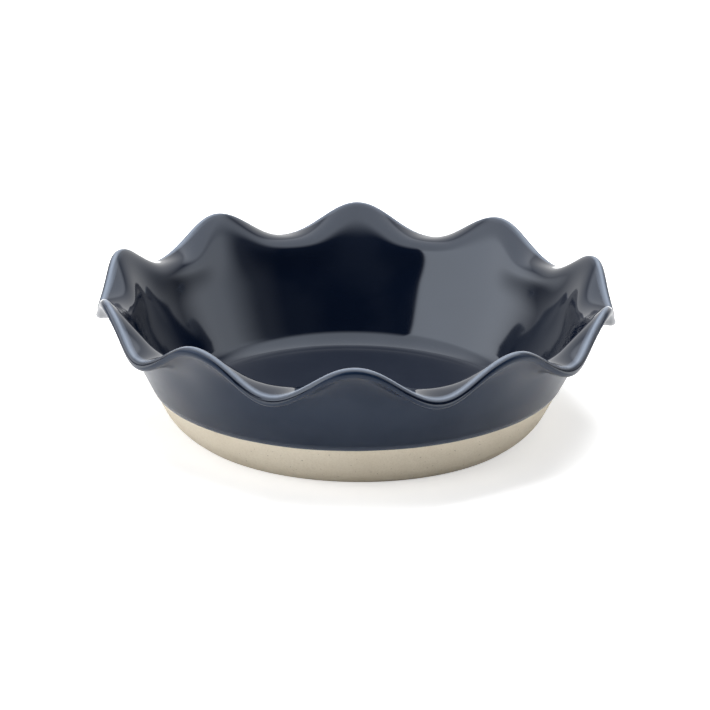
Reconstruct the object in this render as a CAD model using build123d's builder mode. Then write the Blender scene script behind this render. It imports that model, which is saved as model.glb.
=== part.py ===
from build123d import *
from math import asin, cos, degrees, hypot, radians, sin, sqrt, tan
import os

# A deep ruffled pie dish in glazed stoneware, in millimetres.
# Origin: centre of the foot on the table. +Z is up, and a crest of the rim points to -Y.

# Rim
wave_count = 10                # crests around the rim
places_per_wave = 8            # points on each ring, for each wave
lip_round = 2.7                # radius of the rounded lip
lip_overhang = 19.7            # how far the middle of the lip stands out past the wall's reach
lip_fullness = 0.6             # how far crests and valleys stand out past the slopes between them
crest_top = 77.1               # highest point of the lip
valley_top = 59.7              # lowest point of the lip's upper side

# Wall
wall_thickness = 6.0
wall_lean = 26.5               # degrees from upright
wall_reach = 112.6             # outside radius of the wall, at the height below
wall_reach_height = 34.0
ruffle_start = 38.0            # below this height the dish is round

# Ruffle: how far the wall keeps its own way, and how far the lip draws the clay its way
crest_rise = 17.0
valley_rise = 22.0
crest_draw = 11.0
valley_draw = 18.0
crest_lip_angle = 40.0         # degrees above level
valley_lip_angle = -10.0

# Floor and foot
floor_level = 7.0              # top of the glazed floor
floor_corner = 13.0            # radius inside, between floor and wall
foot_tuck = 5.0                # how far the foot is drawn in from the line of the wall
foot_corner = 30.0             # radius outside, between foot and wall
foot_edge = 0.8                # bevel of the edge that meets the table
foot_ring_width = 9.0
foot_recess = 1.2              # how far the middle of the underside stands clear

# Glaze
coat = 0.5                     # thickness of the fired glaze
dip_height = 23.6              # glaze line on the outside
dip_lean = 1.25                # degrees, because the dish was dipped a little askew

# Where the rings of the skin lie, as shares of each stretch
floor_shares = (0.5, 0.8, 0.95)
wall_shares = (0.35, 0.7)
spine_shares = (0.0, 0.15, 0.3, 0.44, 0.57, 0.69, 0.8, 0.9, 1.0)
corner_shares = (0.0, 0.25, 0.5, 0.75, 1.0)
lip_shares = (0.13, 0.26, 0.38, 0.5)

half_wall = wall_thickness / 2
lean = radians(wall_lean)
lip_reach = wall_reach + lip_overhang
lip_middle = (crest_top + valley_top) / 2 - lip_round
lip_swing = (crest_top - valley_top) / 2
foot_radius = wall_reach - wall_reach_height * tan(lean) - foot_tuck


os.makedirs("parts", exist_ok=True)


def between(first, last, share):
    return first + (last - first) * share


def wall_line(height, depth):
    """A point of the straight wall at that height, and that deep from its outer side."""
    return wall_reach + (height - wall_reach_height) * tan(lean) - depth / cos(lean), height


def arc_points(centre, radius, first, last, shares):
    """Points of an arc; its angles are in degrees, 0 outward and 90 up."""
    turns = [radians(between(first, last, share)) for share in shares]
    return [(centre[0] + radius * cos(a), centre[1] + radius * sin(a)) for a in turns]


def spine(wave, t):
    """The middle of the ruffled clay: the place at t from 0 to 1, and the way it runs there."""
    crestness = (1 + wave) / 2
    lip_angle = radians(between(valley_lip_angle, crest_lip_angle, crestness))
    rise = between(valley_rise, crest_rise, crestness)
    draw = between(valley_draw, crest_draw, crestness)
    start = wall_line(ruffle_start, half_wall)
    lip = (lip_reach + lip_fullness * (2 * wave * wave - 1), lip_middle + lip_swing * wave)
    keep = (start[0] + rise * sin(lean), start[1] + rise * cos(lean))
    pulled = (lip[0] - draw * cos(lip_angle), lip[1] - draw * sin(lip_angle))
    s = 1 - t
    place = []
    way = []
    for a, b, c, d in zip(start, keep, pulled, lip):
        place.append(s**3 * a + 3 * s * s * t * b + 3 * s * t * t * c + t**3 * d)
        way.append(s * s * (b - a) + 2 * s * t * (c - b) + t * t * (d - c))
    size = hypot(*way)
    return place, (way[0] / size, way[1] / size)


def beside_spine(wave, t, inset, side):
    """A point of the surface beside the spine; side is 1 inside the dish and -1 outside."""
    place, way = spine(wave, t)
    half = between(half_wall, lip_round, t) - inset
    return place[0] - side * half * way[1], place[1] + side * half * way[0]


def inside_points(inset):
    """Floor, corner and round wall inside the dish, from the middle outward."""
    level = floor_level - inset
    radius = floor_corner + inset
    centre = wall_line(level + radius, wall_thickness - inset + radius)
    floor = [(centre[0] * share, level) for share in floor_shares]
    corner = arc_points(centre, radius, -90, -wall_lean, corner_shares)
    top = wall_line(ruffle_start, wall_thickness - inset)
    wall = [tuple(between(a, b, share) for a, b in zip(corner[-1], top)) for share in wall_shares]
    return floor + corner + wall


def outside_points(inset):
    """Round wall and foot, from the ruffle down to the table."""
    edge_gap = wall_line(0, foot_corner)[0] - foot_radius
    slope = tan(lean)
    reach = sqrt(foot_corner**2 * (1 + slope**2) - edge_gap**2)
    height = (reach - slope * edge_gap) / (1 + slope**2)
    centre = wall_line(height, foot_corner)
    radius = foot_corner - inset
    low = -degrees(asin((centre[1] - foot_edge / 2) / radius))
    corner = arc_points(centre, radius, -wall_lean, low, corner_shares)
    top = wall_line(ruffle_start, inset)
    wall = [tuple(between(a, b, share) for a, b in zip(top, corner[0])) for share in wall_shares]
    return wall + corner + [(foot_radius - foot_edge, 0)]


def recess_points():
    """From the inner edge of the table ring up to the recess."""
    ring_inside = foot_radius - foot_ring_width
    return [(ring_inside, 0), (ring_inside - foot_edge, foot_recess)]


def over_lip(wave, inset, shares):
    """The rounded lip at those shares of its half circle, from its inner side to its outer side."""
    place, way = spine(wave, 1)
    heading = degrees(asin(way[1]))
    return arc_points(place, lip_round - inset, heading + 90, heading - 90, shares)


def up_inside(wave, inset):
    """From the middle of the floor up to the tip of the lip."""
    ruffle = [beside_spine(wave, t, inset, 1) for t in spine_shares]
    return inside_points(inset) + ruffle + over_lip(wave, inset, lip_shares)


def down_ruffle(wave, inset):
    """From the tip of the lip down the outside, to where the dish is round."""
    lip = over_lip(wave, inset, [1 - share for share in reversed(lip_shares)])
    return lip + [beside_spine(wave, t, inset, -1) for t in reversed(spine_shares)]


def dip_line(angle, inset):
    """The glaze line on the round wall, which leans a little towards +X."""
    level_reach = wall_line(dip_height, inset)[0]
    return wall_line(dip_height + level_reach * sin(radians(angle)) * tan(radians(dip_lean)), inset)


def clay_outline(angle, wave):
    """Up the inside of the clay, over the lip and down to the table."""
    return up_inside(wave, coat) + down_ruffle(wave, coat)[1:] + outside_points(coat)


def recess_outline(angle, wave):
    return recess_points()


def inside_coat_outline(angle, wave):
    """Up the face of the inside coat to the tip of the lip, and back down on the clay."""
    return up_inside(wave, 0) + up_inside(wave, coat)[::-1]


def outside_coat_outline(angle, wave):
    """Down the face of the outside coat to the glaze line, and back up on the clay."""
    face = down_ruffle(wave, 0) + [dip_line(angle, 0)]
    back = down_ruffle(wave, coat) + [dip_line(angle, coat)]
    return face + back[::-1]


def rings_of(outline):
    """One closed smooth ring round the dish for each point of the outline."""
    place_count = wave_count * places_per_wave
    angles = [360 * i / place_count for i in range(place_count)]
    outlines = [outline(angle, cos(radians(wave_count * angle))) for angle in angles]
    rings = []
    for ring_points in zip(*outlines):
        turned = zip(angles, ring_points)
        places = [(r * sin(radians(a)), -r * cos(radians(a)), z) for a, (r, z) in turned]
        with BuildLine() as ring:
            Spline(*places, periodic=True)
        rings.append(ring.wire())
    return rings


# Fired stoneware, bare from the foot up to the glaze line
clay_rings = rings_of(clay_outline)
recess_rings = rings_of(recess_outline)
clay_skin = Shell.make_loft(clay_rings, ruled=True)
recess_skin = Shell.make_loft(recess_rings, ruled=True)
floor_middle = Face(clay_rings[0])
table_ring = Face(clay_rings[-1], [recess_rings[0]])
recess_middle = Face(recess_rings[-1])
clay_ends = [floor_middle, table_ring, recess_middle]
with BuildPart() as clay_body:
    add(Solid(Shell(clay_skin.faces() + recess_skin.faces() + clay_ends)))
clay_body.part.label = "clay_body"
export_step(clay_body.part, "parts/clay_body.step")

# The coat poured inside, from the floor to the tip of the lip
with BuildPart() as inside_glaze:
    add(Solid.make_loft(rings_of(inside_coat_outline), ruled=True))
inside_glaze.part.label = "inside_glaze"
export_step(inside_glaze.part, "parts/inside_glaze.step")

# The coat that the outside was dipped in, from the tip of the lip down to the glaze line
coat_rings = rings_of(outside_coat_outline)
coat_skin = Shell.make_loft(coat_rings, ruled=True)
coat_tip = Shell.make_loft([coat_rings[-1], coat_rings[0]], ruled=True)
with BuildPart() as outside_glaze:
    add(Solid(Shell(coat_skin.faces() + coat_tip.faces())))
outside_glaze.part.label = "outside_glaze"
export_step(outside_glaze.part, "parts/outside_glaze.step")
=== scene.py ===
# Ruffled pie dish: the packed clay and glaze coats as smooth skins, with finishes, light and camera
from math import asin, cos, degrees, hypot, pi, radians, sin, sqrt, tan

import bpy
from mathutils import Matrix, Vector


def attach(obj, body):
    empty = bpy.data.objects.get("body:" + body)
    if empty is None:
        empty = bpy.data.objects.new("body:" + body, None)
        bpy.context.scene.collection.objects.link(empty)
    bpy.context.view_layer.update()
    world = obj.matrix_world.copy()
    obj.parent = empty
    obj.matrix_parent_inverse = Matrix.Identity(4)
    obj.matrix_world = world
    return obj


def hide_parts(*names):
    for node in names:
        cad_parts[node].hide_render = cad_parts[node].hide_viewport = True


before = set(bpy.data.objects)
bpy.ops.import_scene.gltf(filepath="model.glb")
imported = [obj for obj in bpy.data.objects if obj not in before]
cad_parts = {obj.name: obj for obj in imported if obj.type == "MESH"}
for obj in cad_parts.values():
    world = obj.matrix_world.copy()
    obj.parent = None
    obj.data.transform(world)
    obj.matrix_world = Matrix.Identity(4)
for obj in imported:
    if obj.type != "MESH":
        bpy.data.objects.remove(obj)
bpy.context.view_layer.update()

mm = 0.001

# Shape, in millimetres and degrees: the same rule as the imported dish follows
dish = {
    "waves": 10,
    "lipRound": 2.7,
    "lipOverhang": 19.7,
    "lipFullness": 0.6,
    "crestTop": 77.1,
    "valleyTop": 59.7,
    "wallThickness": 6.0,
    "wallLean": 26.5,
    "wallReach": 112.6,
    "wallReachHeight": 34.0,
    "ruffleStart": 38.0,
    "crestRise": 17.0,
    "valleyRise": 22.0,
    "crestDraw": 11.0,
    "valleyDraw": 18.0,
    "crestLipAngle": 40.0,
    "valleyLipAngle": -10.0,
    "floorLevel": 7.0,
    "floorCorner": 13.0,
    "footTuck": 5.0,
    "footCorner": 30.0,
    "footEdge": 0.8,
    "footRingWidth": 9.0,
    "footRecess": 1.2,
    "coat": 0.5,
    "dipHeight": 23.6,
    "dipLean": 1.25,
}
lipReach = dish["wallReach"] + dish["lipOverhang"]
wallSlope = tan(radians(dish["wallLean"]))
dipSlope = tan(radians(dish["dipLean"]))
footRadius = dish["wallReach"] - dish["wallReachHeight"] * wallSlope - dish["footTuck"]

# How finely the skins are drawn
fineness = {
    "placesAround": 600,
    "ruffleSteps": 18,
    "lipSteps": 14,
    "cornerSteps": 9,
    "wallSteps": 5,
    "floorSteps": 5,
    "mergeDistance": 1e-6,  # metres
    "sharpAngle": 35,  # degrees
}

# Small unevenness of a handmade rim and glaze line; the rim only dips down and inward
handmade = {
    "rimDip": 0.5,  # millimetres
    "dipWander": 0.5,  # millimetres
    "rimScale": 1.6,
    "dipScale": 5.0,
    "dipShift": 3,
    "inwardShare": 0.5,
    "seed": 7,
}


def between(first, last, share):
    return first + (last - first) * share


# Even shares up to 1, with or without 0
def shares(steps, fromStart=True):
    return [i / steps for i in range(0 if fromStart else 1, steps + 1)]


# A point of the straight wall at that height, and that deep from its outer side
def wallPoint(height, depth):
    outside = dish["wallReach"] + (height - dish["wallReachHeight"]) * wallSlope
    return outside - depth / cos(radians(dish["wallLean"])), height


# Points of an arc: 0 degrees is outward and 90 up
def arcPoints(centre, radius, first, last, steps, fromStart=True):
    turns = [radians(between(first, last, s)) for s in shares(steps, fromStart)]
    return [(centre[0] + radius * cos(a), centre[1] + radius * sin(a)) for a in turns]


# Even steps along a straight stretch of wall, without its first point
def linePoints(start, end):
    steps = shares(fineness["wallSteps"], False)
    return [tuple(between(a, b, s) for a, b in zip(start, end)) for s in steps]


# The middle of the ruffled clay, and the way it runs there
def spine(wave, t):
    crestness = (1 + wave) / 2
    lean = radians(dish["wallLean"])
    lipAngle = radians(between(dish["valleyLipAngle"], dish["crestLipAngle"], crestness))
    rise = between(dish["valleyRise"], dish["crestRise"], crestness)
    draw = between(dish["valleyDraw"], dish["crestDraw"], crestness)
    start = wallPoint(dish["ruffleStart"], dish["wallThickness"] / 2)
    lipHeight = (dish["crestTop"] + dish["valleyTop"]) / 2 - dish["lipRound"]
    swing = (dish["crestTop"] - dish["valleyTop"]) / 2
    lip = (lipReach + dish["lipFullness"] * (2 * wave * wave - 1), lipHeight + swing * wave)
    keep = (start[0] + rise * sin(lean), start[1] + rise * cos(lean))
    pulled = (lip[0] - draw * cos(lipAngle), lip[1] - draw * sin(lipAngle))
    s = 1 - t
    place, way = [], []
    for a, b, c, d in zip(start, keep, pulled, lip):
        place.append(s**3 * a + 3 * s * s * t * b + 3 * s * t * t * c + t**3 * d)
        way.append(s * s * (b - a) + 2 * s * t * (c - b) + t * t * (d - c))
    size = hypot(*way)
    return place, (way[0] / size, way[1] / size)


# The ruffle's surface from the round wall to the lip; side is 1 inside and -1 outside
def ruffleSide(wave, inset, side):
    points = []
    for t in shares(fineness["ruffleSteps"]):
        place, way = spine(wave, t)
        half = between(dish["wallThickness"] / 2, dish["lipRound"], t) - inset
        points.append((place[0] - side * half * way[1], place[1] + side * half * way[0]))
    return points


# Half of the rounded lip, from its side to its tip or from its tip on
def lipArc(wave, inset, inner):
    place, way = spine(wave, 1)
    heading = degrees(asin(way[1]))
    first, last = (heading + 90, heading) if inner else (heading, heading - 90)
    return arcPoints(place, dish["lipRound"] - inset, first, last, fineness["lipSteps"], not inner)


# From the middle of the floor up to the tip of the lip
def upInside(wave, inset):
    level = dish["floorLevel"] - inset
    radius = dish["floorCorner"] + inset
    inner = dish["wallThickness"] - inset
    centre = wallPoint(level + radius, inner + radius)
    floor = [(centre[0] * s, level) for s in shares(fineness["floorSteps"])]
    corner = arcPoints(centre, radius, -90, -dish["wallLean"], fineness["cornerSteps"], False)
    wall = linePoints(corner[-1], wallPoint(dish["ruffleStart"], inner))
    return floor + corner + wall[:-1] + ruffleSide(wave, inset, 1) + lipArc(wave, inset, True)


# From the tip of the lip down the outside to that height on the round wall
def downOutside(wave, inset, lowest):
    wall = linePoints(wallPoint(dish["ruffleStart"], inset), wallPoint(lowest, inset))
    lip = lipArc(wave, inset, False)
    return lip + ruffleSide(wave, inset, -1)[::-1][1:] + wall


# Foot corner, table ring and recess, in to the middle of the underside
def underside(inset):
    gap = wallPoint(0, dish["footCorner"])[0] - footRadius
    reach = sqrt(dish["footCorner"] ** 2 * (1 + wallSlope**2) - gap**2)
    centre = wallPoint((reach - wallSlope * gap) / (1 + wallSlope**2), dish["footCorner"])
    radius = dish["footCorner"] - inset
    edge = dish["footEdge"]
    low = -degrees(asin((centre[1] - edge / 2) / radius))
    corner = arcPoints(centre, radius, -dish["wallLean"], low, fineness["cornerSteps"])
    ringOut = footRadius - edge
    ringIn = footRadius - dish["footRingWidth"]
    ringMiddle = (ringOut + ringIn) / 2
    bevel = [(ringOut + edge / 2, edge / 6), (ringOut, 0), (ringMiddle, 0), (ringIn, 0)]
    recess = [(ringIn - edge / 2, dish["footRecess"] / 4), (ringIn - edge, dish["footRecess"])]
    steps = shares(fineness["floorSteps"], False)
    middle = [(recess[-1][0] * (1 - s), dish["footRecess"]) for s in steps]
    return corner + bevel + recess + middle


# Closed round by the middle of the floor and of the underside
def clayProfile(wave):
    coat = dish["coat"]
    footTop = underside(coat)[0][1]
    return upInside(wave, coat) + downOutside(wave, coat, footTop)[1:-1] + underside(coat)


# Up the face of the inside coat and back down on the clay
def insideProfile(wave):
    face = upInside(wave, 0)
    return face + upInside(wave, dish["coat"])[::-1]


# Down the face of the outside coat, round its lower edge and back up on the clay
def outsideProfile(wave):
    coat = dish["coat"]
    face = downOutside(wave, 0, dish["dipHeight"] + coat)
    back = downOutside(wave, coat, dish["dipHeight"])
    lean = radians(dish["wallLean"])
    foot = wallPoint(dish["dipHeight"] + coat, coat)
    turns = [lean + radians(turn) for turn in (30, 60)]  # rounds the coat's lower edge
    edge = [(foot[0] + coat * cos(turn), foot[1] - coat * sin(turn)) for turn in turns]
    ring = face + edge + back[::-1]
    return ring + ring[:1]


# A new node with those settings
def newNode(tree, kind, **settings):
    node = tree.nodes.new(kind)
    for name, value in settings.items():
        setattr(node, name, value)
    return node


# Links or sets a node's inputs by number, as in i0=value
def connect(tree, node, **sockets):
    for name, value in sockets.items():
        socket = node.inputs[int(name[1:])]
        if isinstance(value, bpy.types.NodeSocket):
            tree.links.new(value, socket)
        else:
            socket.default_value = value
    return node


def calc(tree, operation, *values):
    node = newNode(tree, "ShaderNodeMath", operation=operation)
    return connect(tree, node, **{f"i{n}": v for n, v in enumerate(values)}).outputs[0]


def vectorCalc(tree, operation, *values):
    node = newNode(tree, "ShaderNodeVectorMath", operation=operation)
    for n, value in enumerate(values):
        if operation == "SCALE" and n == 1:
            connect(tree, node, i3=value)
        else:
            connect(tree, node, **{f"i{n}": value})
    return node.outputs[0]


# Spins a profile round the dish; it changes between valley, slope and crest with each wave
def makeRuffleTree():
    tree = bpy.data.node_groups.new("ruffledSkin", "GeometryNodeTree")
    for label, kind in (
        ("Profiles", "Geometry"),
        ("Waves", "Int"),
        ("Places Around", "Int"),
        ("Profile Points", "Int"),
        ("Rim Dip", "Float"),
        ("Glaze Line Lean", "Float"),
        ("Glaze Line Wander", "Float"),
        ("Wall Slope", "Float"),
        ("Seed", "Int"),
        ("Finish", "Material"),
    ):
        tree.interface.new_socket(label, in_out="INPUT", socket_type="NodeSocket" + kind)
    tree.interface.new_socket("Skin", in_out="OUTPUT", socket_type="NodeSocketGeometry")
    given = tree.nodes.new("NodeGroupInput").outputs
    result = tree.nodes.new("NodeGroupOutput")

    around = calc(tree, "ADD", given["Places Around"], 1)
    grid = newNode(tree, "GeometryNodeMeshGrid")
    connect(tree, grid, i0=1.0, i1=1.0, i2=around, i3=given["Profile Points"])
    place = tree.nodes.new("GeometryNodeInputPosition").outputs[0]
    flat = connect(tree, newNode(tree, "ShaderNodeSeparateXYZ"), i0=place)
    turn = calc(tree, "MULTIPLY", calc(tree, "ADD", flat.outputs[0], 0.5), 2 * pi)
    lastPoint = calc(tree, "SUBTRACT", given["Profile Points"], 1)
    along = calc(tree, "ADD", flat.outputs[1], 0.5)
    number = calc(tree, "ROUND", calc(tree, "MULTIPLY", along, lastPoint))
    wave = calc(tree, "COSINE", calc(tree, "MULTIPLY", turn, given["Waves"]))

    # Reads a value of this profile point from the valley, slope or crest profile, numbered 0 to 2
    def sampled(value, kind, offset):
        index = calc(tree, "ADD", number, calc(tree, "MULTIPLY", given["Profile Points"], offset))
        node = newNode(tree, "GeometryNodeSampleIndex", data_type=kind, domain="POINT")
        tree.links.new(given["Profiles"], node.inputs[0])
        tree.links.new(value, node.inputs[1])
        tree.links.new(index, node.inputs[2])
        return node.outputs[0]

    valley, slope, crest = (sampled(place, "FLOAT_VECTOR", k) for k in (0, 1, 2))
    swing = vectorCalc(tree, "SCALE", vectorCalc(tree, "SUBTRACT", crest, valley), 0.5)
    middle = vectorCalc(tree, "SCALE", vectorCalc(tree, "ADD", crest, valley), 0.5)
    fullness = vectorCalc(tree, "SUBTRACT", middle, slope)
    squared = calc(tree, "MULTIPLY", wave, wave)
    linear = vectorCalc(tree, "SCALE", swing, wave)
    bent = vectorCalc(tree, "SCALE", fullness, squared)
    point = vectorCalc(tree, "ADD", vectorCalc(tree, "ADD", slope, linear), bent)
    drawn = connect(tree, newNode(tree, "ShaderNodeSeparateXYZ"), i0=point)

    weights = {}
    for name in ("ruffle", "glazeLine"):
        attribute = newNode(tree, "GeometryNodeInputNamedAttribute", data_type="FLOAT")
        connect(tree, attribute, i0=name)
        weights[name] = sampled(attribute.outputs[0], "FLOAT", 0)

    sine = calc(tree, "SINE", turn)
    cosine = calc(tree, "COSINE", turn)

    # A smooth value from 0 to 1 that changes round the dish and meets itself
    def unevenness(scale, offset):
        spot = connect(tree, newNode(tree, "ShaderNodeCombineXYZ"), i0=sine, i1=cosine)
        start = calc(tree, "ADD", given["Seed"], offset)
        noise = newNode(tree, "ShaderNodeTexNoise", noise_dimensions="4D")
        tree.links.new(spot.outputs[0], noise.inputs["Vector"])
        tree.links.new(start, noise.inputs["W"])
        noise.inputs["Scale"].default_value = scale
        noise.inputs["Detail"].default_value = 1.0
        return noise.outputs[0]

    dip = calc(tree, "MULTIPLY", unevenness(handmade["rimScale"], 0), given["Rim Dip"])
    rimDip = calc(tree, "MULTIPLY", dip, weights["ruffle"])
    drift = calc(tree, "SUBTRACT", unevenness(handmade["dipScale"], handmade["dipShift"]), 0.5)
    wander = calc(tree, "MULTIPLY", drift, given["Glaze Line Wander"])
    sideways = calc(tree, "MULTIPLY", drawn.outputs[0], sine)
    leaning = calc(tree, "MULTIPLY", sideways, given["Glaze Line Lean"])
    lineShift = calc(tree, "MULTIPLY", calc(tree, "ADD", leaning, wander), weights["glazeLine"])
    outward = calc(tree, "MULTIPLY", lineShift, given["Wall Slope"])
    inward = calc(tree, "MULTIPLY", rimDip, handmade["inwardShare"])
    reach = calc(tree, "SUBTRACT", calc(tree, "ADD", drawn.outputs[0], outward), inward)
    height = calc(tree, "SUBTRACT", calc(tree, "ADD", drawn.outputs[2], lineShift), rimDip)
    x = calc(tree, "MULTIPLY", reach, sine)
    y = calc(tree, "MULTIPLY", calc(tree, "MULTIPLY", reach, cosine), -1.0)
    spun = connect(tree, newNode(tree, "ShaderNodeCombineXYZ"), i0=x, i1=y, i2=height)
    stored = newNode(tree, "GeometryNodeStoreNamedAttribute", data_type="FLOAT", domain="POINT")
    tree.links.new(grid.outputs[0], stored.inputs["Geometry"])
    stored.inputs["Name"].default_value = "crestness"
    tree.links.new(wave, stored.inputs["Value"])
    moved = newNode(tree, "GeometryNodeSetPosition")
    tree.links.new(stored.outputs[0], moved.inputs["Geometry"])
    tree.links.new(spun.outputs[0], moved.inputs["Position"])
    merged = newNode(tree, "GeometryNodeMergeByDistance")
    tree.links.new(moved.outputs[0], merged.inputs["Geometry"])
    merged.inputs["Distance"].default_value = fineness["mergeDistance"]
    smooth = newNode(tree, "GeometryNodeSetShadeSmooth")
    tree.links.new(merged.outputs[0], smooth.inputs["Geometry"])
    real = newNode(tree, "GeometryNodeRealizeInstances")
    tree.links.new(smooth.outputs[0], real.inputs[0])
    finish = newNode(tree, "GeometryNodeSetMaterial")
    tree.links.new(real.outputs[0], finish.inputs["Geometry"])
    tree.links.new(given["Finish"], finish.inputs["Material"])
    tree.links.new(finish.outputs[0], result.inputs[0])
    return tree


# 0 on the round bowl, growing to 1 at the lip
def ruffleWeight(radiusAndHeight):
    start = dish["ruffleStart"]
    end = dish["valleyTop"] - dish["lipRound"]
    return min(1.0, max(0.0, (radiusAndHeight[1] - start) / (end - start)))


# 1 for the profile points at the glaze line, fading out up the wall
def nearLine(spot):
    top = dish["ruffleStart"]
    low = dish["dipHeight"]
    return min(1.0, max(0.0, (top - spot[1]) / (top - low - dish["coat"])))


# One closed skin of the dish as a plain mesh, from the profiles at a valley, a slope and a crest
def makeSkin(name, profile, material, tree, glazeLineWeight=None):
    outlines = [profile(wave) for wave in (-1, 0, 1)]
    count = len(outlines[0])
    base = bpy.data.meshes.new(name + "Profiles")
    base.from_pydata([(r * mm, 0, z * mm) for outline in outlines for r, z in outline], [], [])
    ruffle = base.attributes.new("ruffle", "FLOAT", "POINT")
    line = base.attributes.new("glazeLine", "FLOAT", "POINT")
    for number, spot in enumerate(outlines[0] * 3):
        ruffle.data[number].value = ruffleWeight(outlines[1][number % count])
        line.data[number].value = glazeLineWeight(spot) if glazeLineWeight else 0.0
    holder = bpy.data.objects.new(name + "Profiles", base)
    bpy.context.collection.objects.link(holder)
    modifier = holder.modifiers.new("ruffle", "NODES")
    modifier.node_group = tree
    sizes = {
        "Waves": dish["waves"],
        "Places Around": fineness["placesAround"],
        "Profile Points": count,
        "Rim Dip": handmade["rimDip"] * mm,
        "Glaze Line Lean": dipSlope,
        "Glaze Line Wander": handmade["dipWander"] * mm,
        "Wall Slope": wallSlope,
        "Seed": handmade["seed"],
        "Finish": material,
    }
    for socket in tree.interface.items_tree:
        if socket.item_type == "SOCKET" and socket.name in sizes:
            modifier[socket.identifier] = sizes[socket.name]
    seen = holder.evaluated_get(bpy.context.evaluated_depsgraph_get())
    mesh = bpy.data.meshes.new_from_object(seen)
    bpy.data.objects.remove(holder)
    mesh.name = name
    mesh.set_sharp_from_angle(angle=radians(fineness["sharpAngle"]))
    piece = bpy.data.objects.new(name, mesh)
    bpy.context.collection.objects.link(piece)
    print(name, "is a skin of", len(mesh.polygons), "faces")
    return piece


# Finishes: colours are linear, sizes in metres
insideGlazeFinish = {
    "navy": (0.0014, 0.0034, 0.0100),
    # Pale blue of glaze thinned at its edges, also the colour of the painted highlight along the lip
    "thinNavyAndHighlight": (0.13, 0.155, 0.20),
    "cloudShare": 0.02,
    "roughness": 0.075,
    "roughnessSwing": 0.01,
    "edgeGloss": 1.0,
    "ior": 1.55,
    "sheenTint": (0.80, 0.88, 1.0, 1.0),
    "cloudScale": 28.0,
}
outsideGlazeFinish = {
    "navy": (0.0030, 0.0085, 0.0220),
    # Pale blue of glaze thinned at its edges, also the colour of the painted highlight along the lip
    "thinNavyAndHighlight": (0.13, 0.155, 0.20),
    "cloudShare": 0.05,
    "roughness": 0.31,
    "roughnessSwing": 0.02,
    "edgeGloss": 0.4,
    "ior": 1.31,
    "sheenTint": (0.80, 0.88, 1.0, 1.0),
    "cloudScale": 28.0,
}
# How the clouds of both coats turn into paleness and roughness
glazeClouds = {
    "detail": 3.0,
    "paleFrom": 0.35,
    "paleTo": 0.70,
    "dullFrom": 0.3,
    "dullTo": 0.7,
    "thinFull": 0.5,
    "outsideShift": 0.4,
}
# Where the glaze pales: along the crown of the lip, partly glaze thinning over the edge and partly a
# painted highlight where light from above falls on the lip, and in a band above the glaze line where
# the glaze thins
glazeEdges = {
    "crownPaleness": 0.9,
    "crownNarrowness": 6,
    "crownReach": 1.6,  # times the lip's radius
    "tipShare": 1.2,
    "linePaleness": 0.5,
    "lineBand": 1.3,  # millimetres
}
clayFinish = {
    "cream": (0.66, 0.60, 0.49),
    "sand": (0.50, 0.43, 0.32),
    "speck": (0.20, 0.15, 0.10),
    "grainScale": 900.0,
    "grainDetail": 4.0,
    "grainHarshness": 0.6,
    "grainShare": 0.35,
    "speckScale": 620.0,
    "speckFrom": 0.72,
    "speckTo": 0.78,
    "speckShare": 0.6,
    "blushScale": 22.0,
    "blushDetail": 3.0,
    "blushShare": 0.30,
    "mixFrom": 0.35,
    "mixTo": 0.75,
    "roughness": 0.85,
    "ior": 1.4,
    "bumpDepth": 0.0004,
    "bumpStrength": 0.35,
}


# An empty shader node group with those named sockets
def makeGroup(name, inputs, outputs):
    tree = bpy.data.node_groups.new(name, "ShaderNodeTree")
    for label, kind, value in inputs:
        socket = tree.interface.new_socket(label, in_out="INPUT", socket_type=kind)
        socket.default_value = value
    for label, kind in outputs:
        tree.interface.new_socket(label, in_out="OUTPUT", socket_type=kind)
    return tree, tree.nodes.new("NodeGroupInput").outputs, tree.nodes.new("NodeGroupOutput").inputs


def noiseNode(tree, vector, scale, detail=2.0, roughness=0.5):
    node = tree.nodes.new("ShaderNodeTexNoise")
    tree.links.new(vector, node.inputs["Vector"])
    node.inputs["Detail"].default_value = detail
    node.inputs["Roughness"].default_value = roughness
    if isinstance(scale, bpy.types.NodeSocket):
        tree.links.new(scale, node.inputs["Scale"])
    else:
        node.inputs["Scale"].default_value = scale
    return node.outputs["Fac"]


# A value eased from one range to another, and held at its ends
def remap(tree, value, fromLow, fromHigh, toLow=0.0, toHigh=1.0):
    node = tree.nodes.new("ShaderNodeMapRange")
    node.interpolation_type = "SMOOTHSTEP"
    tree.links.new(value, node.inputs[0])
    for socket, number in zip(node.inputs[1:5], (fromLow, fromHigh, toLow, toHigh)):
        socket.default_value = number
    return node.outputs[0]


def mixColours(tree, share, first, second):
    node = newNode(tree, "ShaderNodeMix", data_type="RGBA")
    for number, value in ((0, share), (6, first), (7, second)):
        socket = node.inputs[number]
        if isinstance(value, bpy.types.NodeSocket):
            tree.links.new(value, socket)
        else:
            socket.default_value = value if isinstance(value, float) else (*value[:3], 1.0)
    return node.outputs[2]


# Clouds in a fired glaze, where it lies thicker or thinner
def makeUnevenCoat():
    tree, given, result = makeGroup(
        "unevenCoat",
        [("Scale", "NodeSocketFloat", 28.0), ("Seed Shift", "NodeSocketFloat", 0.0)],
        [("Cloud", "NodeSocketFloat")],
    )
    place = tree.nodes.new("ShaderNodeTexCoord").outputs["Object"]
    shift = connect(tree, newNode(tree, "ShaderNodeCombineXYZ"), i0=given["Seed Shift"])
    spot = vectorCalc(tree, "ADD", place, shift.outputs[0])
    tree.links.new(noiseNode(tree, spot, given["Scale"], glazeClouds["detail"]), result["Cloud"])
    return tree


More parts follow.
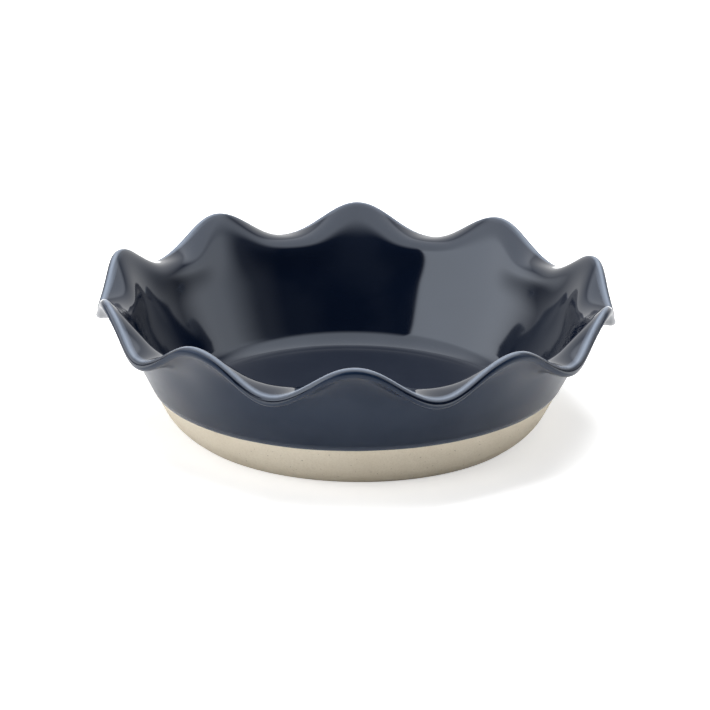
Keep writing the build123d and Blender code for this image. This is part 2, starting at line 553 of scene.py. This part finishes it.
# Fired stoneware: a fine sandy grain, its dark specks and a slow blush of colour
def makeSandyGrain():
    tree, given, result = makeGroup(
        "sandyGrain",
        [("Grain Scale", "NodeSocketFloat", 900.0), ("Blush Scale", "NodeSocketFloat", 22.0)],
        [("Grain", "NodeSocketFloat"), ("Specks", "NodeSocketFloat"), ("Blush", "NodeSocketFloat")],
    )
    place = tree.nodes.new("ShaderNodeTexCoord").outputs["Object"]
    look = clayFinish
    grain = noiseNode(tree, place, given["Grain Scale"], look["grainDetail"], look["grainHarshness"])
    tree.links.new(grain, result["Grain"])
    specks = noiseNode(tree, place, look["speckScale"], 1.0)
    tree.links.new(remap(tree, specks, look["speckFrom"], look["speckTo"]), result["Specks"])
    blush = noiseNode(tree, place, given["Blush Scale"], look["blushDetail"])
    tree.links.new(blush, result["Blush"])
    return tree


# A new material, its tree and its shader
def startMaterial(name):
    material = bpy.data.materials.new(name)
    material.use_nodes = True
    tree = material.node_tree
    return material, tree, tree.nodes["Principled BSDF"]


# A shared group placed in this tree, with its own values
def useGroup(tree, group, **values):
    node = tree.nodes.new("ShaderNodeGroup")
    node.node_tree = group
    for label, value in values.items():
        node.inputs[label.replace("_", " ")].default_value = value
    return node


def bumpNode(tree, height, distance, strength):
    node = tree.nodes.new("ShaderNodeBump")
    tree.links.new(height, node.inputs["Height"])
    node.inputs["Distance"].default_value = distance
    node.inputs["Strength"].default_value = strength
    return node.outputs[0]


# Dark navy glaze that pales where it thins off an edge, and where a highlight is painted along the top
# of the lip
def makeGlaze(name, look, coatGroup, shift):
    material, tree, shader = startMaterial(name)
    coat = useGroup(tree, coatGroup, Scale=look["cloudScale"], Seed_Shift=shift)
    thinAndHighlight = tree.nodes.new("ShaderNodeAttribute")
    thinAndHighlight.attribute_name = "thinAndHighlight"
    clouds = glazeClouds
    cloudFac = coat.outputs["Cloud"]
    cloud = remap(tree, cloudFac, clouds["paleFrom"], clouds["paleTo"], 0.0, look["cloudShare"])
    # Paler where the glaze clouds or thins, and where the highlight along the top of the lip is
    # painted
    paleness = calc(tree, "MAXIMUM", cloud, thinAndHighlight.outputs["Fac"])
    colour = mixColours(tree, paleness, look["navy"], look["thinNavyAndHighlight"])
    tree.links.new(colour, shader.inputs["Base Color"])
    low = look["roughness"] - look["roughnessSwing"]
    high = look["roughness"] + look["roughnessSwing"]
    clouded = remap(tree, cloudFac, clouds["dullFrom"], clouds["dullTo"], low, high)
    glossier = remap(tree, thinAndHighlight.outputs["Fac"], 0.0, clouds["thinFull"], 1.0, look["edgeGloss"])
    rough = calc(tree, "MULTIPLY", clouded, glossier)
    tree.links.new(rough, shader.inputs["Roughness"])
    shader.inputs["IOR"].default_value = look["ior"]
    shader.inputs["Specular Tint"].default_value = look["sheenTint"]
    return material


# Bare fired clay with its sand and specks
def makeStoneware(grainGroup):
    material, tree, shader = startMaterial("bareStoneware")
    look = clayFinish
    grain = useGroup(tree, grainGroup, Grain_Scale=look["grainScale"], Blush_Scale=look["blushScale"])
    low, high = look["mixFrom"], look["mixTo"]
    blush = remap(tree, grain.outputs["Blush"], low, high, 0.0, look["blushShare"])
    sanded = mixColours(tree, blush, look["cream"], look["sand"])
    fine = remap(tree, grain.outputs["Grain"], low, high, 0.0, look["grainShare"])
    grained = mixColours(tree, fine, sanded, look["sand"])
    specks = calc(tree, "MULTIPLY", grain.outputs["Specks"], look["speckShare"])
    colour = mixColours(tree, specks, grained, look["speck"])
    tree.links.new(colour, shader.inputs["Base Color"])
    shader.inputs["Roughness"].default_value = look["roughness"]
    shader.inputs["IOR"].default_value = look["ior"]
    bump = bumpNode(tree, grain.outputs["Grain"], look["bumpDepth"], look["bumpStrength"])
    tree.links.new(bump, shader.inputs["Normal"])
    return material


# Writes how thinly the glaze lies at each point, and the painted highlight along the top of the lip,
# as the given rule sets them
def paintThinnessAndHighlight(piece, paleEdgesAndHighlight):
    values = piece.data.attributes.new("thinAndHighlight", "FLOAT", "POINT")
    wave = piece.data.attributes["crestness"].data
    for vertex, value, crest in zip(piece.data.vertices, values.data, wave):
        x, y, z = vertex.co / mm
        value.value = paleEdgesAndHighlight(hypot(x, y), z, x, crest.value)


# Palest along the crown of the lip, and a little at its tip: partly the glaze thinning over the edge,
# partly a painted highlight that grows towards the top of the lip as light from above would
def lipThinnessAndHighlight(r, z, x, crest):
    (lipR, lipZ), way = spine(crest, 1)
    out = (r - lipR) * way[0] + (z - lipZ) * way[1]
    away = hypot(r - lipR, z - lipZ)
    if away > dish["lipRound"] * glazeEdges["crownReach"] or out < -dish["lipRound"]:
        return 0.0
    up = max(0.0, (z - lipZ) / max(away, 0.01))
    towardsTip = min(1.0, max(0.0, glazeEdges["tipShare"] + out / dish["lipRound"]))
    return glazeEdges["crownPaleness"] * up ** glazeEdges["crownNarrowness"] * towardsTip


# Pale also in a fine band just above the glaze line, where the glaze thins, besides the lip's thinning
# and painted highlight
def lineThinnessAndLipHighlight(r, z, x, crest):
    above = z - dish["dipHeight"] - x * dipSlope
    nearness = max(0.0, 1 - max(0.0, above) / glazeEdges["lineBand"])
    return max(lipThinnessAndHighlight(r, z, x, crest), glazeEdges["linePaleness"] * nearness)


ruffleTree = makeRuffleTree()
coatGroup = makeUnevenCoat()
grainGroup = makeSandyGrain()
stoneware = makeStoneware(grainGroup)
insideNavy = makeGlaze("insideNavyGlaze", insideGlazeFinish, coatGroup, 0.0)
outsideNavy = makeGlaze("outsideNavyGlaze", outsideGlazeFinish, coatGroup, glazeClouds["outsideShift"])
print("finishes are mixed")

clay = makeSkin("clayBody", clayProfile, stoneware, ruffleTree)
insideCoat = makeSkin("insideGlaze", insideProfile, insideNavy, ruffleTree)
outsideCoat = makeSkin("outsideGlaze", outsideProfile, outsideNavy, ruffleTree, nearLine)
# The inside coat gets a painted highlight along the top of the lip; the outside one also pales above
# its glaze line
paintThinnessAndHighlight(insideCoat, lipThinnessAndHighlight)
paintThinnessAndHighlight(outsideCoat, lineThinnessAndLipHighlight)

for piece, node, slotName in (
    (clay, "clay_body", "bare_stoneware"),
    (insideCoat, "inside_glaze", "inside_glaze"),
    (outsideCoat, "outside_glaze", "outside_glaze"),
):
    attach(piece, "root")
    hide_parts(node)
print("skins stand for the packed pieces")

# Studio: pale floor, soft boxes, white surroundings
studio = {
    "floorSize": 12.0,
    "floorAlbedo": 0.85,
    "floorGlow": 0.50,
    "ambient": 0.50,
    "overheadStart": 0.62,
    "overheadFull": 0.84,
    "overheadLevel": 2.3,
    "frontLevel": 0.02,
    "backLevel": 1.1,
    "backFrom": 0.2,
    "backTo": 0.7,
    "plainFrom": -0.55,
    "plainTo": 0.35,
    "plainFrontShare": 0.6,
}

# Panels that the gloss mirrors: azimuths in degrees from the camera's side, and heights as
# parts of a unit direction
panels = {
    "left": {
        "from": -150.0, "fullFrom": -85.0, "fullTo": -39.5, "to": -37.0,
        "bottom": 0.06, "fullBottom": 0.34, "fullTop": 0.55, "top": 0.85, "level": 3.6,
    },
    "right": {
        "from": 60.0, "fullFrom": 86.0, "fullTo": 94.0, "to": 128.0,
        "bottom": 0.06, "fullBottom": 0.32, "fullTop": 0.55, "top": 0.85, "level": 2.0,
    },
    "rightFaint": {
        "from": 42.0, "fullFrom": 60.0, "fullTo": 66.0, "to": 80.0,
        "bottom": 0.0, "fullBottom": 0.15, "fullTop": 0.55, "top": 0.85, "level": 0.25,
    },
}


# A pale floor that keeps the shadow, lifted to white for the camera and the gloss
def makeFloor():
    mesh = bpy.data.meshes.new("floor")
    half = studio["floorSize"] / 2
    corners = [(x * half, y * half, 0) for x, y in ((-1, -1), (1, -1), (1, 1), (-1, 1))]
    mesh.from_pydata(corners, [], [(0, 1, 2, 3)])
    floor = bpy.data.objects.new("floor", mesh)
    bpy.context.collection.objects.link(floor)
    material = bpy.data.materials.new("paleFloor")
    material.use_nodes = True
    tree = material.node_tree
    tree.nodes.clear()
    result = tree.nodes.new("ShaderNodeOutputMaterial")
    paleGrey = (*[studio["floorAlbedo"]] * 3, 1)
    cloth = connect(tree, tree.nodes.new("ShaderNodeBsdfDiffuse"), i0=paleGrey)
    glow = tree.nodes.new("ShaderNodeEmission")
    path = tree.nodes.new("ShaderNodeLightPath")
    seen = calc(tree, "MAXIMUM", path.outputs["Is Camera Ray"], path.outputs["Is Glossy Ray"])
    seen = calc(tree, "MAXIMUM", seen, path.outputs["Is Transmission Ray"])
    tree.links.new(calc(tree, "MULTIPLY", seen, studio["floorGlow"]), glow.inputs["Strength"])
    added = tree.nodes.new("ShaderNodeAddShader")
    tree.links.new(cloth.outputs[0], added.inputs[0])
    tree.links.new(glow.outputs[0], added.inputs[1])
    tree.links.new(added.outputs[0], result.inputs["Surface"])
    mesh.materials.append(material)


# How bright one soft panel is between its azimuths and heights
def panelLevel(tree, azimuth, height, panel):
    rising = remap(tree, azimuth, panel["from"], panel["fullFrom"])
    falling = remap(tree, azimuth, panel["fullTo"], panel["to"], 1.0, 0.0)
    lower = remap(tree, height, panel["bottom"], panel["fullBottom"])
    upper = remap(tree, height, panel["fullTop"], panel["top"], 1.0, 0.0)
    sides = calc(tree, "MULTIPLY", rising, falling)
    ends = calc(tree, "MULTIPLY", lower, upper)
    return calc(tree, "MULTIPLY", calc(tree, "MULTIPLY", sides, ends), panel["level"])


# White to the camera, soft panels to the gloss, and a plain level to the rest
def makeSurroundings():
    world = bpy.data.worlds.new("studio")
    world.use_nodes = True
    bpy.context.scene.world = world
    tree = world.node_tree
    tree.nodes.clear()
    result = tree.nodes.new("ShaderNodeOutputWorld")
    way = tree.nodes.new("ShaderNodeTexCoord").outputs["Generated"]
    parts = connect(tree, tree.nodes.new("ShaderNodeSeparateXYZ"), i0=way)
    towardsCamera = calc(tree, "MULTIPLY", parts.outputs[1], -1.0)
    turn = calc(tree, "ARCTAN2", parts.outputs[0], towardsCamera)
    azimuth = calc(tree, "MULTIPLY", turn, 180 / pi)
    height = parts.outputs[2]
    start, full = studio["overheadStart"], studio["overheadFull"]
    level = remap(tree, height, start, full, 0.0, studio["overheadLevel"])
    for panel in panels.values():
        level = calc(tree, "ADD", level, panelLevel(tree, azimuth, height, panel))
    away = parts.outputs[1]
    start, full = studio["backFrom"], studio["backTo"]
    behind = remap(tree, away, start, full, studio["frontLevel"], studio["backLevel"])
    level = calc(tree, "MAXIMUM", level, behind)
    path = tree.nodes.new("ShaderNodeLightPath")
    start, full = studio["plainFrom"], studio["plainTo"]
    front = studio["plainFrontShare"] * studio["ambient"]
    plain = remap(tree, away, start, full, front, studio["ambient"])
    glossy = newNode(tree, "ShaderNodeMix", data_type="FLOAT")
    tree.links.new(path.outputs["Is Glossy Ray"], glossy.inputs[0])
    tree.links.new(plain, glossy.inputs[2])
    tree.links.new(level, glossy.inputs[3])
    seen = newNode(tree, "ShaderNodeMix", data_type="FLOAT")
    tree.links.new(path.outputs["Is Camera Ray"], seen.inputs[0])
    tree.links.new(glossy.outputs[0], seen.inputs[2])
    seen.inputs[3].default_value = 1.0
    background = connect(tree, tree.nodes.new("ShaderNodeBackground"), i0=(1, 1, 1, 1))
    tree.links.new(seen.outputs[0], background.inputs["Strength"])
    tree.links.new(background.outputs[0], result.inputs["Surface"])


# Place, width and height in metres, and power in watts
softBoxes = {
    "left": ((-1.4, -0.6, 0.75), 1.6, 1.2, 15.0),
    "right": ((1.6, -0.1, 1.0), 0.9, 1.2, 2.0),
    "top": ((-0.1, 0.15, 1.7), 1.3, 1.3, 60.0),
}
softBoxAim = (0, 0, 0.05)


# A lamp aimed at the dish; the gloss mirrors the panels instead of it
def makeSoftBox(name, place, width, height, power):
    light = bpy.data.lights.new(name + "SoftBox", "AREA")
    light.shape = "RECTANGLE"
    light.size = width
    light.size_y = height
    light.energy = power
    box = bpy.data.objects.new(name + "SoftBox", light)
    bpy.context.collection.objects.link(box)
    box.visible_glossy = False
    turn = (Vector(place) - Vector(softBoxAim)).to_track_quat("Z", "Y")
    box.matrix_world = Matrix.Translation(place) @ turn.to_matrix().to_4x4()


# Metres and degrees
view = {
    "distance": 1.6358,
    "elevation": 20.23,
    "targetX": -0.0002,
    "targetZ": 0.0346,
    "roll": 0.816,
    "focalPixels": 3125.2,
    "picturePixels": 710,
    "sensorWidth": 36.0,  # millimetres
    "farthest": 50.0,
}


def makeCamera():
    data = bpy.data.cameras.new("camera")
    data.sensor_width = view["sensorWidth"]
    data.sensor_fit = "HORIZONTAL"
    data.lens = view["focalPixels"] / view["picturePixels"] * data.sensor_width
    data.clip_end = view["farthest"]
    camera = bpy.data.objects.new("camera", data)
    bpy.context.collection.objects.link(camera)
    rise = radians(view["elevation"])
    target = Vector((view["targetX"], 0, view["targetZ"]))
    place = target + view["distance"] * Vector((0, -cos(rise), sin(rise)))
    tilt = Matrix.Rotation(pi / 2 - rise, 4, "X") @ Matrix.Rotation(radians(view["roll"]), 4, "Z")
    camera.matrix_world = Matrix.Translation(place) @ tilt
    bpy.context.scene.camera = camera


makeFloor()
makeSurroundings()
for name, settings in softBoxes.items():
    makeSoftBox(name, *settings)
makeCamera()
bpy.context.scene.view_settings.view_transform = "Standard"
print("studio is lit")

bpy.context.view_layer.update()
